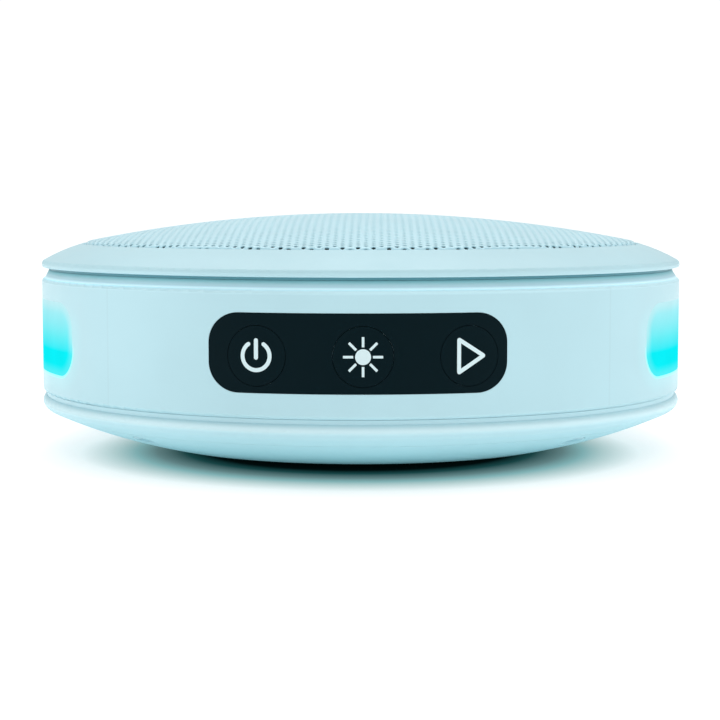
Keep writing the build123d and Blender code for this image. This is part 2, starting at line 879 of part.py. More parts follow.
cap_radius = 10.5
cap_top = 30.2
cap_rise = 3.2
cap_sheet = 0.4


def cap_point(radius, top):
    """A point on the dust cap's dome."""
    return radius, dome_height(radius, top, cap_radius, cap_rise)


with BuildPart() as dust_cap:
    with BuildSketch(radial_plane(0)):
        with BuildLine():
            under = cap_top - cap_sheet
            ThreePointArc((0, cap_top), cap_point(5, cap_top), cap_point(cap_radius, cap_top))
            Line(cap_point(cap_radius, cap_top), cap_point(cap_radius - 0.2, under))
            ThreePointArc(cap_point(cap_radius - 0.2, under), cap_point(5, under), (0, under))
            Line((0, under), (0, cap_top))
        make_face()
    revolve(axis=Axis.Z)

with BuildPart() as surround:
    with BuildSketch(radial_plane(0)):
        with BuildLine():
            Line((30.2, 35.3), (31.6, 35.3))
            ThreePointArc((31.6, 35.3), (33.2, 38.1), (35.8, flange_top))
            Line((35.8, flange_top), (39.8, flange_top))
            Line((39.8, flange_top), (39.8, flange_top + 0.4))
            Line((39.8, flange_top + 0.4), (36.0, flange_top + 0.4))
            ThreePointArc((36.0, flange_top + 0.4), (33.1, 38.5), (31.3, 35.7))
            Line((31.3, 35.7), (30.2, 35.7))
            Line((30.2, 35.7), (30.2, 35.3))
        make_face()
    revolve(axis=Axis.Z)

# Screws, one node for each kind


def screw_group(plane, ring_radius, start_angle, head_radius, head_height, shank_radius, shank_length):
    """Four screws on a circle. The plane lies under the heads, and its normal points along the shanks."""
    with BuildPart() as screws:
        with BuildSketch(plane):
            with PolarLocations(ring_radius, 4, start_angle=start_angle):
                Circle(head_radius)
        extrude(amount=-head_height)
        chamfer(screws.faces().sort_by(Axis.Z)[-4:].edges(), 0.2)
        with BuildSketch(plane):
            with PolarLocations(ring_radius, 4, start_angle=start_angle):
                Circle(shank_radius)
        extrude(amount=shank_length)
        with BuildSketch(plane.offset(-head_height)):
            with PolarLocations(ring_radius, 4, start_angle=start_angle):
                Rectangle(head_radius * 1.2, 0.5)
                Rectangle(0.5, head_radius * 1.2)
        extrude(amount=0.7, mode=Mode.SUBTRACT)
    return screws.part


def downward_plane(height):
    """Horizontal plane whose normal points down."""
    return Plane(origin=(0, 0, height), x_dir=(1, 0, 0), z_dir=(0, 0, -1))


with BuildPart() as base_screws:
    add(screw_group(Plane.XY.offset(base_screw_seat), post_ring_radius, post_angle, 2.2, 1.3, 1.25, 10))

with BuildPart() as baffle_screws:
    add(screw_group(downward_plane(33.35), post_ring_radius, post_angle, 2.2, 1.3, 1.25, 9))

with BuildPart() as bezel_screws:
    add(screw_group(Plane.XY.offset(baffle_low), bezel_screw_radius, 0, 1.9, 1.2, 1.0, 5.4))

with BuildPart() as driver_screws:
    add(screw_group(downward_plane(flange_top), driver_screw_radius, post_angle, 1.9, 1.2, 1.2, 4.2))

# Wires

wire_radius = 0.6

with BuildPart() as battery_leads:
    add(wire(wire_radius, (34.0, -37.5, 16.4), (44, -14, 12.5), (44, 14, 14.5), (26.8, 41.5, 19.9)))
    add(wire(wire_radius, (34.0, -37.5, 19.4), (44, -14, 15.5), (43, 14, 17.0), (26.8, 38.5, 19.9)))

with BuildPart() as speaker_leads:
    add(wire(wire_radius, (-30.3, 6, 25.5), (-34, 20, 27), (-22.5, 36, 21.4)))
    add(wire(wire_radius, (-29.5, 9, 25.5), (-31, 20, 26.5), (-20.2, 36, 21.4)))

with BuildPart() as key_leads:
    add(wire(0.8, (20.5, -50.8, 26.2), (35, -35.5, 28.5), (46, -8, 26), (38, 18, 23), (26.9, 33.5, 19.9)))

with BuildPart() as light_leads:
    for side in (-1, 1):
        start = (side * 54.6, 7.6, 20)
        end = (side * 26.8, 46.5, 19.9)
        add(wire(wire_radius, start, (side * 48, 22, 20.5), (side * 35, 36, 20.2), end))

pieces = {
    "grille": grille,
    "grille_cloth": grille_cloth,
    "top_bezel": top_bezel,
    "baffle": baffle,
    "mid_frame": mid_frame,
    "band": band,
    "left_light_lens": left_light_lens,
    "right_light_lens": right_light_lens,
    "left_light_box": left_light_box,
    "right_light_box": right_light_box,
    "left_led_board": left_led_board,
    "right_led_board": right_led_board,
    "left_leds": left_leds,
    "right_leds": right_leds,
    "control_strip": control_strip,
    "power_key": power_key,
    "light_key": light_key,
    "play_key": play_key,
    "power_icon": power_icon,
    "light_icon": light_icon,
    "play_icon": play_icon,
    "key_board": key_board,
    "key_switches": key_switches,
    "bottom_shell": bottom_shell,
    "base_gasket": base_gasket,
    "base_cover": base_cover,
    "foot_ring": foot_ring,
    "battery": battery,
    "battery_cradle": battery_cradle,
    "main_board": main_board,
    "bluetooth_module": bluetooth_module,
    "amplifier_chip": amplifier_chip,
    "board_parts": board_parts,
    "usb_socket": usb_socket,
    "port_cover": port_cover,
    "driver_gasket": driver_gasket,
    "driver_frame": driver_frame,
    "top_plate": top_plate,
    "magnet": magnet,
    "yoke": yoke,
    "voice_coil": voice_coil,
    "spider": spider,
    "cone": cone,
    "dust_cap": dust_cap,
    "surround": surround,
    "base_screws": base_screws,
    "baffle_screws": baffle_screws,
    "bezel_screws": bezel_screws,
    "driver_screws": driver_screws,
    "battery_leads": battery_leads,
    "speaker_leads": speaker_leads,
    "key_leads": key_leads,
    "light_leads": light_leads,
}

os.makedirs("parts", exist_ok=True)
for name, piece in pieces.items():
    piece.part.label = name
    export_step(piece.part, f"parts/{name}.step")
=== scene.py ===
import json
import math

import bpy
import numpy as np
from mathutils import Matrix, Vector


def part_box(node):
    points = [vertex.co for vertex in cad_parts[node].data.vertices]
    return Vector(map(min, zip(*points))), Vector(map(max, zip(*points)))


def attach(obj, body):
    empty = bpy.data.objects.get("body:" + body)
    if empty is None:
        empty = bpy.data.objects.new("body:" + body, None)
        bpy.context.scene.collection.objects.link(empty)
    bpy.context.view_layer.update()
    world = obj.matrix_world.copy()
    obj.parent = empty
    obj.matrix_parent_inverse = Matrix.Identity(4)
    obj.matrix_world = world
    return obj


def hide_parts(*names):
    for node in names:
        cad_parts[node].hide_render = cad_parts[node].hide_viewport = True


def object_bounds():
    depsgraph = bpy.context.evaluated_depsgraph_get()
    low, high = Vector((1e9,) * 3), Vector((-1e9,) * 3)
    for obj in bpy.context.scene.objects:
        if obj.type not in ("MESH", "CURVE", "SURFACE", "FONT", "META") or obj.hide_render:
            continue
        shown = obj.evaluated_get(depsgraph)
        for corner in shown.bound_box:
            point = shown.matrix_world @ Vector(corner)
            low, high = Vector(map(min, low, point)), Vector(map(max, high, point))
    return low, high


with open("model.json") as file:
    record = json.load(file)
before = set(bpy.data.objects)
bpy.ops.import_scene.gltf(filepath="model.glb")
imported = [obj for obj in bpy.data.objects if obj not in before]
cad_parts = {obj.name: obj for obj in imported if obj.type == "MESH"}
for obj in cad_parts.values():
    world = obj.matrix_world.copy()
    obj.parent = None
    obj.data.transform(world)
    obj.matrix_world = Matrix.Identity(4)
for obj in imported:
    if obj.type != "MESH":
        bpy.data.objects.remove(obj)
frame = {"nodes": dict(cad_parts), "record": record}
cad_low, cad_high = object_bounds()

# Sizes are in metres. MM turns the millimetre figures below into metres.
MM = 0.001

WHITE = (1.0, 1.0, 1.0, 1.0)
BLACK = (0.0, 0.0, 0.0, 1.0)

# The pale blue plastic of the housing, as a linear colour
SHELL = (0.475, 0.725, 0.795)
SHELL_ROUGHNESS = 0.42

# Camera, measured from the object's axis and the surface it stands on
CAMERA_DISTANCE = 381.1 * MM
CAMERA_HEIGHT = 48.5 * MM
CAMERA_PITCH = math.radians(4.9)
CAMERA_TURN = math.radians(0.48)
CAMERA_LENS = 93.5
CAMERA_SENSOR = 36.0
CAMERA_SHIFT = -0.0009

# Soft boxes: places and sizes in metres, powers in watts. The side boxes are a mirrored pair.
OVERHEAD_PLACE = (0.0, 0.35, 1.0)
OVERHEAD_SIZE = (1.2, 0.9)
OVERHEAD_POWER = 5.6
SIDE_PLACE = (0.95, -0.25, 0.3)
SIDE_SIZE = (0.9, 0.5)
SIDE_POWER = 1.3

# Grille sheet. Each hole is drawn with OUTER_SIDES corners outside and INNER_SIDES inside. On the crown
# its inside is HOLE_TAPER times as wide, and this taper fades out over TAPER_BAND next to the rolled rim.
HOLE_PITCH = 1.58 * MM
HOLE_RADIUS = 0.46 * MM
OUTER_SIDES = 8
INNER_SIDES = 6
SHEET = 0.3 * MM
HOLE_TAPER = 0.72
TAPER_BAND = 3.0 * MM

# The dome's edge, where the rolled rim begins, and the heights where the roll and the sheet end
CROWN_RADIUS = 54.2 * MM
CROWN_EDGE_HEIGHT = 40.45 * MM
ROLL_END_HEIGHT = 39.3 * MM
SHEET_END_HEIGHT = 38.3 * MM

# How far the holes reach, measured along the sheet from the top, and how close corners are welded
HOLES_END = 56.6 * MM
WELD = 0.002 * MM

# Points along each stretch of the grille's outline
DOME_POINTS = 160
ROLL_POINTS = 24
WALL_POINTS = 6

# Light windows, as seen from the side, and the heights between which their colour changes
WINDOW_HALF_WIDTH = 35.5 * MM
WINDOW_HALF_HEIGHT = 6.9 * MM
WINDOW_CORNER = 5.2 * MM
WINDOW_CENTRE = 22.3 * MM
GLOW_LOW = 15.4 * MM
GLOW_HIGH = 29.2 * MM

# Light that the windows spill on the band: a halo and a bright rim, each with its reach from the
# window's outline and the heights between which it fades
HALO_REACH = (0.0 * MM, 4.0 * MM)
HALO_FADE = (24.0 * MM, 30.5 * MM)
RIM_REACH = (0.25 * MM, 0.8 * MM)
RIM_FADE = (19.0 * MM, 24.0 * MM)

# Faint parting lines on the band: where the tone begins to change and where it is plain again
PARTING_WIDTH = (0.15 * MM, 0.45 * MM)
PARTING_TONE = 0.965

# Crest of the rounded lip under the band, and the painted highlight along it
CREST_HEIGHT = 9.0 * MM
CREST_SPAN = 1.0 * MM
CREST_LIGHT = (0.14, 0.13, 0.12, 1.0)

# Groove under the bezel: the seam with the band at its foot, and the bezel's lowest visible edge
GROOVE_LOW = 33.25 * MM
GROOVE_HIGH = 35.1 * MM
BEZEL_EDGE = 35.28 * MM
# Painted highlight on the rounded edge at the foot of the groove: its reach below and above the seam, and
# its colour
CATCH_BELOW = 1.0 * MM
CATCH_ABOVE = 0.4 * MM
CATCH_LIGHT = (0.22, 0.27, 0.28, 1.0)
# Colour of the painted shade in the top of the groove and on the bezel's underside
GROOVE_SHADE = (0.17, 0.38, 0.42, 1.0)

# Contact shade on the table: the main light comes from behind, so the shade is drawn out to the front
SHADE_SHIFT = 18 * MM
SHIFT_BACK = 30 * MM
SHIFT_FRONT = -5 * MM
SHADE_CORE = 26 * MM
SHADE_EDGE = 66 * MM

# The table's own brightness, as the camera sees it and as it lights the underside, with the distances
# from the axis between which that light sets in and turns from pale teal to white
FLOOR_SHOWN = 0.85
FLOOR_LIGHT = 0.36
LIGHT_SETS_IN = (34.0 * MM, 60.0 * MM)
LIGHT_WHITENS = (46.0 * MM, 74.0 * MM)
PALE_TEAL = (0.62, 0.97, 0.97, 1.0)
FLOOR_SPAN = 6.0

# The room's brightness, as a light and as the camera sees it
ROOM_LIGHT = 0.66
ROOM_SHOWN = 1.05


# ---------------------------------------------------------------- colours and node helpers


def linear(red, green, blue):
    """A display colour, 0 to 255, as the linear RGBA that shaders take."""

    def channel(value):
        value = value / 255
        return value / 12.92 if value <= 0.04045 else ((value + 0.055) / 1.055) ** 2.4

    return channel(red), channel(green), channel(blue), 1.0


class Nodes:
    """A short way to build a material's node tree."""

    def __init__(self, name):
        self.material = bpy.data.materials.new(name)
        self.material.use_nodes = True
        self.tree = self.material.node_tree
        self.tree.nodes.clear()
        output = self.tree.nodes.new("ShaderNodeOutputMaterial")
        self.surface = self.tree.nodes.new("ShaderNodeBsdfPrincipled")
        self.join(self.surface.outputs[0], output.inputs["Surface"])
        self.place = self.tree.nodes.new("ShaderNodeTexCoord").outputs["Object"]

    def join(self, source, target):
        """Links an output to an input, or sets the input if the source is a plain value."""
        if isinstance(source, bpy.types.NodeSocket):
            self.tree.links.new(source, target)
        else:
            target.default_value = source

    def math(self, operation, *values):
        """A math node's output."""
        node = self.tree.nodes.new("ShaderNodeMath")
        node.operation = operation
        for value, socket in zip(values, node.inputs, strict=False):
            self.join(value, socket)
        return node.outputs[0]

    def vector(self, operation, *values):
        """A vector math node's output."""
        node = self.tree.nodes.new("ShaderNodeVectorMath")
        node.operation = operation
        for value, socket in zip(values, node.inputs, strict=False):
            self.join(value, socket)
        return node.outputs["Value"] if operation in ("LENGTH", "DOT_PRODUCT") else node.outputs[0]

    def noise(self, scale, detail=2.0, roughness=0.5, source=None):
        """Noise between 0 and 1 at a scale in cycles per metre."""
        node = self.tree.nodes.new("ShaderNodeTexNoise")
        self.join(source or self.place, node.inputs["Vector"])
        node.inputs["Scale"].default_value = scale
        node.inputs["Detail"].default_value = detail
        node.inputs["Roughness"].default_value = roughness
        return node.outputs["Fac"]

    def ramp(self, fac, *stops):
        """A colour ramp through (position, colour) stops."""
        node = self.tree.nodes.new("ShaderNodeValToRGB")
        elements = node.color_ramp.elements
        while len(elements) < len(stops):
            elements.new(1.0)
        for element, (position, colour) in zip(elements, stops, strict=True):
            element.position = position
            element.color = colour
        self.join(fac, node.inputs["Fac"])
        return node.outputs["Color"]

    def spread(self, fac, from_low, from_high, to_low, to_high, smooth=False):
        """Maps one range to another, clamped."""
        node = self.tree.nodes.new("ShaderNodeMapRange")
        node.interpolation_type = "SMOOTHSTEP" if smooth else "LINEAR"
        self.join(fac, node.inputs["Value"])
        for name, value in (
            ("From Min", from_low),
            ("From Max", from_high),
            ("To Min", to_low),
            ("To Max", to_high),
        ):
            node.inputs[name].default_value = value
        return node.outputs["Result"]

    def mix(self, fac, first, second):
        """Mixes two colours."""
        node = self.tree.nodes.new("ShaderNodeMix")
        node.data_type = "RGBA"
        self.join(fac, node.inputs["Factor"])
        self.join(first, node.inputs["A"])
        self.join(second, node.inputs["B"])
        return node.outputs["Result"]

    def scale(self, colour, factor):
        """A colour times a single factor."""
        scaled = self.vector("SCALE", colour)
        self.join(factor, scaled.node.inputs["Scale"])
        return scaled

    def coordinates(self):
        """The x, y and z coordinates of the shaded point."""
        node = self.tree.nodes.new("ShaderNodeSeparateXYZ")
        self.join(self.place, node.inputs[0])
        return node.outputs

    def height(self):
        """The z coordinate of the shaded point."""
        return self.coordinates()[2]

    def bump(self, relief, distance):
        """A bump that turns a relief into a normal."""
        node = self.tree.nodes.new("ShaderNodeBump")
        node.inputs["Distance"].default_value = distance
        self.join(relief, node.inputs["Height"])
        return node.outputs["Normal"]

    def base_colour(self):
        """The output that now feeds the base colour."""
        return self.surface.inputs["Base Color"].links[0].from_socket

    def set(self, **values):
        """Sets the Principled shader's inputs, by name with _ for a space."""
        for name, value in values.items():
            self.join(value, self.surface.inputs[name.replace("_", " ")])


def moulded(name, colour, roughness, grain=2600.0, grain_depth=0.006 * MM, tone=0.03, coat=0.0):
    """Moulded plastic or rubber: fine spark-eroded grain, slow tone drift and uneven gloss."""
    n = Nodes(name)
    drift = n.noise(35.0, 3.0)
    fine = n.noise(grain, 2.0, 0.6)
    shade = n.spread(drift, 0.3, 0.7, 1.0 - tone, 1.0 + tone)
    tinted = n.scale(colour[:3], shade)
    gloss = n.spread(n.noise(180.0, 3.0), 0.3, 0.7, roughness - 0.04, roughness + 0.04)
    n.set(Base_Color=tinted, Roughness=gloss, Normal=n.bump(fine, grain_depth))
    if coat:
        n.set(Coat_Weight=coat, Coat_Roughness=0.12)
    return n


# ---------------------------------------------------------------- materials

materials = {}


def keep(name, n):
    """Files a finished material under its slot, or under one node's name to override its slot."""
    materials[name] = n.material


def window_distance(n):
    """Distance from the outline of a light window, seen from the side: negative inside it."""
    _, y, z = n.coordinates()
    across = n.math("SUBTRACT", n.math("ABSOLUTE", y), WINDOW_HALF_WIDTH - WINDOW_CORNER)
    above = n.math("SUBTRACT", z, WINDOW_CENTRE)
    up = n.math("SUBTRACT", n.math("ABSOLUTE", above), WINDOW_HALF_HEIGHT - WINDOW_CORNER)
    across_out = n.math("MAXIMUM", across, 0.0)
    up_out = n.math("MAXIMUM", up, 0.0)
    across_square = n.math("MULTIPLY", across_out, across_out)
    squares = n.math("ADD", across_square, n.math("MULTIPLY", up_out, up_out))
    inside = n.math("MINIMUM", n.math("MAXIMUM", across, up), 0.0)
    return n.math("SUBTRACT", n.math("ADD", n.math("SQRT", squares), inside), WINDOW_CORNER)


def tint(n, tone):
    """Multiplies a material's base colour by a tone."""
    n.set(Base_Color=n.vector("MULTIPLY", n.base_colour(), tone))


def peak(n, low, middle, high, smooth=False):
    """A hump over the height: 0 at low and high, and 1 in the middle."""
    level = n.height()
    rising = n.spread(level, low, middle, 0.0, 1.0, smooth=smooth)
    falling = n.spread(level, middle, high, 1.0, 0.0, smooth=smooth)
    return n.math("MINIMUM", rising, falling)


def edge_catch(n):
    """Strength of the painted highlight on the rounded edge at the foot of the upper groove, 0 to 1."""
    return peak(n, GROOVE_LOW - CATCH_BELOW, GROOVE_LOW, GROOVE_LOW + CATCH_ABOVE)


def band_plastic():
    """The shell's plastic: two faint parting lines, light spilling round the windows and a painted top-edge
    highlight.
    """
    n = moulded("satin_band", SHELL, SHELL_ROUGHNESS)
    x, y, z = n.coordinates()
    corner = n.math("SUBTRACT", n.math("ABSOLUTE", x), n.math("ABSOLUTE", y))
    parting = n.spread(n.math("ABSOLUTE", corner), *PARTING_WIDTH, PARTING_TONE, 1.0, smooth=True)
    distance = window_distance(n)
    # The halo fades with distance and towards the top; the bright rim shows only low down
    halo = n.math(
        "MULTIPLY",
        n.spread(distance, *HALO_REACH, 0.32, 0.0, smooth=True),
        n.spread(z, *HALO_FADE, 1.0, 0.15, smooth=True),
    )
    rim = n.math(
        "MULTIPLY",
        n.spread(distance, *RIM_REACH, 1.0, 0.0, smooth=True),
        n.spread(z, *RIM_FADE, 1.0, 0.0, smooth=True),
    )
    glow = n.mix(rim, linear(178, 240, 246), linear(150, 252, 255))
    share = n.math("MAXIMUM", halo, n.math("MULTIPLY", rim, 0.95))
    lined = n.scale(n.base_colour(), parting)
    # Emission carries the window light and a painted highlight along the band's top edge at the foot of the
    # upper groove
    n.set(
        Base_Color=n.scale(lined, n.math("SUBTRACT", 1.0, share)),
        Emission_Color=n.vector("ADD", n.scale(glow, share), n.scale(CATCH_LIGHT[:3], edge_catch(n))),
        Emission_Strength=1.0,
    )
    return n


def groove_plastic():
    """The baffle's rim, seen only in the groove under the bezel: painted shade on its upper part, a painted
    highlight at its foot.
    """
    n = moulded("satin_groove", SHELL, 0.5)
    groove_tone = n.ramp(
        n.spread(n.height(), GROOVE_LOW, GROOVE_HIGH, 0.0, 1.0),
        (0.0, (1.3, 1.2, 1.2, 1.0)),
        (0.35, (1.05, 1.03, 1.03, 1.0)),
        (0.62, (0.57, 0.78, 0.78, 1.0)),
        (0.8, (0.27, 0.5, 0.52, 1.0)),
        (1.0, GROOVE_SHADE),
    )
    tint(n, groove_tone)
    n.set(Emission_Color=CATCH_LIGHT, Emission_Strength=edge_catch(n))
    return n


def bezel_plastic():
    """The bezel: its underside, in the groove, gets the same painted shade as the top of the groove."""
    n = moulded("satin_bezel", SHELL, SHELL_ROUGHNESS)
    open_side = n.spread(n.height(), BEZEL_EDGE, BEZEL_EDGE + 0.03 * MM, 0.0, 1.0)
    tint(n, n.mix(open_side, GROOVE_SHADE, WHITE))
    return n


def lip_plastic():
    """The rounded lip under the band, with a painted highlight along its crest."""
    n = moulded("satin_lip", SHELL, SHELL_ROUGHNESS)
    crest = peak(n, CREST_HEIGHT - CREST_SPAN, CREST_HEIGHT, CREST_HEIGHT + CREST_SPAN, smooth=True)
    n.set(Emission_Color=CREST_LIGHT, Emission_Strength=crest)
    return n


def diffuser():
    """A side window's glow: deepest low down, paler towards the top and the edge."""
    n = moulded("glowing_diffuser", linear(8, 20, 22), 0.5)
    level = n.spread(n.height(), GLOW_LOW, GLOW_HIGH, 0.0, 1.0)
    cyan = n.ramp(
        level,
        (0.0, linear(3, 240, 248)),
        (0.333, linear(3, 240, 248)),
        (0.384, linear(64, 238, 248)),
        (0.514, linear(100, 239, 246)),
        (0.696, linear(140, 239, 247)),
        (0.841, linear(160, 240, 248)),
        (0.935, linear(174, 241, 248)),
        (1.0, linear(190, 242, 249)),
    )
    edge = n.spread(window_distance(n), -2.2 * MM, 0.0, 0.0, 1.0, smooth=True)
    upper = n.spread(level, 0.3, 0.6, 0.15, 0.75)
    cloud = n.spread(n.noise(120.0, 3.0), 0.3, 0.7, 0.97, 1.03)
    pale = n.mix(n.math("MULTIPLY", edge, upper), cyan, linear(196, 240, 246))
    n.set(Emission_Color=pale, Emission_Strength=cloud, Specular_IOR_Level=0.0)
    return n


keep("shell_plastic", moulded("satin_shell", SHELL, SHELL_ROUGHNESS))
keep("band", band_plastic())
keep("baffle", groove_plastic())
keep("top_bezel", bezel_plastic())
keep("bottom_shell", lip_plastic())
keep("light_diffuser", diffuser())

# The base screws are painted to match the shell
keep("base_screws", moulded("painted_screw", SHELL, 0.45))

# The grille is painted metal: a fine orange-peel paint film
grille_blue = (0.52, 0.81, 0.9)
keep(
    "grille_paint",
    moulded("painted_sheet", grille_blue, 0.38, grain=900.0, grain_depth=0.004 * MM, coat=0.05),
)

keep("light_tunnel", moulded("white_tunnel", linear(235, 240, 240), 0.5))
strip = moulded("black_strip", (0.0006, 0.0085, 0.012), 0.5, grain=3200.0, grain_depth=0.003 * MM)
strip.set(Specular_IOR_Level=0.055)
keep("strip_black", strip)
keep("icon_white", moulded("printed_icon", linear(214, 236, 240), 0.5))
keep("foot_rubber", moulded("foot_rubber", (0.012, 0.013, 0.014), 0.8, grain=1800.0, grain_depth=0.02 * MM))
keep("flap_rubber", moulded("flap_rubber", SHELL, 0.6, grain=2000.0, grain_depth=0.012 * MM))
keep("seal_rubber", moulded("seal_rubber", (0.02, 0.02, 0.022), 0.7, grain=1500.0, grain_depth=0.015 * MM))
keep("inner_black", moulded("inner_black", (0.02, 0.021, 0.023), 0.55))


def metal(name, colour, roughness, stretch=(1.0, 1.0, 12.0), wear=0.25):
    """Plated or drawn metal: fine draw lines, smudges and slightly dulled patches."""
    n = Nodes(name)
    mapping = n.tree.nodes.new("ShaderNodeMapping")
    mapping.inputs["Scale"].default_value = stretch
    n.join(n.place, mapping.inputs["Vector"])
    lines = n.noise(900.0, 3.0, 0.6, source=mapping.outputs[0])
    smudge = n.noise(90.0, 4.0)
    gloss = n.spread(smudge, 0.35, 0.7, roughness - 0.06, roughness + wear * 0.4)
    tone = n.spread(smudge, 0.3, 0.7, 0.9, 1.05)
    tinted = n.scale(colour[:3], tone)
    n.set(Base_Color=tinted, Metallic=1.0, Roughness=gloss, Normal=n.bump(lines, 0.004 * MM))
    return n


keep("plated_steel", metal("plated_steel", (0.62, 0.62, 0.6), 0.3))
keep("coil_copper", metal("copper_winding", (0.72, 0.35, 0.18), 0.3, stretch=(1.0, 1.0, 40.0)))


def cloth(name, colour, threads, roughness=0.85):
    """Woven cloth: crossed thread waves with uneven thread colour."""
    n = Nodes(name)
    x, y, _ = n.coordinates()
    warp = n.math("SINE", n.math("MULTIPLY", x, threads * math.tau))
    weft = n.math("SINE", n.math("MULTIPLY", y, threads * math.tau))
    weave = n.math("MULTIPLY", warp, weft)
    slub = n.noise(600.0, 3.0)
    shade = n.math("ADD", n.spread(weave, -1.0, 1.0, 0.75, 1.1), n.spread(slub, 0.3, 0.7, -0.1, 0.1))
    tinted = n.scale(colour[:3], shade)
    n.set(Base_Color=tinted, Roughness=roughness, Normal=n.bump(weave, 0.05 * MM), Sheen_Weight=0.2)
    return n


keep("dust_cloth", cloth("acoustic_cloth", (0.002, 0.008, 0.010), 1600.0))
keep("spider_cloth", cloth("spider_cloth", (0.5, 0.34, 0.14), 1200.0))

# Circuit board: solder mask over faint copper tracks
board = Nodes("circuit_board")
tracks = board.tree.nodes.new("ShaderNodeTexBrick")
board.join(board.place, tracks.inputs["Vector"])
tracks.inputs["Scale"].default_value = 160.0
tracks.inputs["Mortar Size"].default_value = 0.025
tracks.inputs["Color1"].default_value = (0.012, 0.06, 0.032, 1.0)
tracks.inputs["Color2"].default_value = (0.012, 0.065, 0.036, 1.0)
tracks.inputs["Mortar"].default_value = (0.03, 0.12, 0.06, 1.0)
speck = board.noise(1200.0, 2.0)
board.set(
    Base_Color=board.mix(
        board.spread(speck, 0.4, 0.6, 0.0, 0.12), tracks.outputs["Color"], (0.02, 0.1, 0.05, 1.0)
    ),
    Roughness=board.spread(board.noise(200.0), 0.3, 0.7, 0.25, 0.4),
    Normal=board.bump(tracks.outputs["Fac"], 0.02 * MM),
)
keep("circuit_board", board)

keep("chip_package", moulded("chip_package", (0.018, 0.018, 0.02), 0.5, grain=3000.0, grain_depth=0.01 * MM))

# Light source packages: pale bodies that glow a little
package = moulded("led_package", (0.75, 0.75, 0.68), 0.4)
package.set(Emission_Color=(0.4, 0.9, 1.0, 1.0), Emission_Strength=0.4)
keep("led_package", package)

# Battery: a shrink sleeve with slight wrinkles
sleeve = moulded("battery_sleeve", (0.02, 0.09, 0.28), 0.3, grain=150.0, grain_depth=0.08 * MM, tone=0.08)
keep("battery_can", sleeve)

ferrite_grey = (0.035, 0.035, 0.038)
keep(
    "ferrite",
    moulded("ferrite", ferrite_grey, 0.65, grain=1500.0, grain_depth=0.03 * MM, tone=0.12),
)

# Pressed paper: a coarse grain with an uneven tone
paper = moulded("cone_paper", (0.018, 0.018, 0.019), 0.85, grain=700.0, grain_depth=0.04 * MM, tone=0.15)
keep("cone_paper", paper)

wire_red = (0.5, 0.03, 0.025)
keep(
    "wire_sleeve",
    moulded("wire_sleeve", wire_red, 0.45, grain=900.0, grain_depth=0.01 * MM, tone=0.06),
)

# A material filed under the node's own name wins over the one for its slot
slots = {part["node"]: part["material_slot"] for part in frame["record"]["subparts"]}
for name, node in frame["nodes"].items():
    material = materials.get(name) or materials[slots[name]]
    if not node.material_slots:
        node.data.materials.append(material)
    for slot in node.material_slots:
        slot.material = material


# ---------------------------------------------------------------- fine perforated grille


def grille_profile():
    """Arc length, radius, height and outward normal along the outside of the grille, as arrays."""
    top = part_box("grille")[1].z
    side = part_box("grille")[1].x
    drop = top - CROWN_EDGE_HEIGHT
    sphere = (CROWN_RADIUS**2 + drop**2) / (2 * drop)
    end = math.asin(CROWN_RADIUS / sphere)
    angles = np.linspace(0.0, end, DOME_POINTS)
    radius = sphere * np.sin(angles)
    level = top - sphere * (1 - np.cos(angles))
    # The rolled rim turns from the slope of the dome to straight down
    turns = np.linspace(end, math.pi / 2, ROLL_POINTS)[1:]
    across = side - CROWN_RADIUS
    down = CROWN_EDGE_HEIGHT - ROLL_END_HEIGHT
    roll_radius = CROWN_RADIUS + across * (np.sin(turns) - math.sin(end)) / (1 - math.sin(end))
    roll_level = CROWN_EDGE_HEIGHT - down * (math.cos(end) - np.cos(turns)) / math.cos(end)
    wall_level = np.linspace(ROLL_END_HEIGHT, SHEET_END_HEIGHT, WALL_POINTS)[1:]
    radius = np.concatenate([radius, roll_radius, np.full(len(wall_level), side)])
    level = np.concatenate([level, roll_level, wall_level])
    step = np.hypot(np.diff(radius), np.diff(level))
    along = np.concatenate([[0.0], np.cumsum(step)])
    slope_r = np.gradient(radius, along)
    slope_z = np.gradient(level, along)
    length = np.hypot(slope_r, slope_z)
    return along, radius, level, -slope_z / length, slope_r / length


def between_loops(outer_count, inner_count):
    """Triangles between two concentric loops, as indices: the outer loop first, then the inner."""
    faces = []
    i = j = 0
    while i < outer_count or j < inner_count:
        a = i % outer_count
        b = outer_count + j % inner_count
        if j == inner_count or (i < outer_count and (i + 1) * inner_count <= (j + 1) * outer_count):
            i += 1
            faces.append((a, i % outer_count, b))
        else:
            j += 1
            faces.append((a, outer_count + j % inner_count, b))
    return faces


def loop_points(centre_u, centre_v, radius, sides):
    """Corners of a regular outline round every centre: cells by corners by (u, v)."""
    turn = math.tau * np.arange(sides) / sides
    return np.stack(
        [centre_u[:, None] + radius * np.cos(turn), centre_v[:, None] + radius * np.sin(turn)], axis=-1
    )


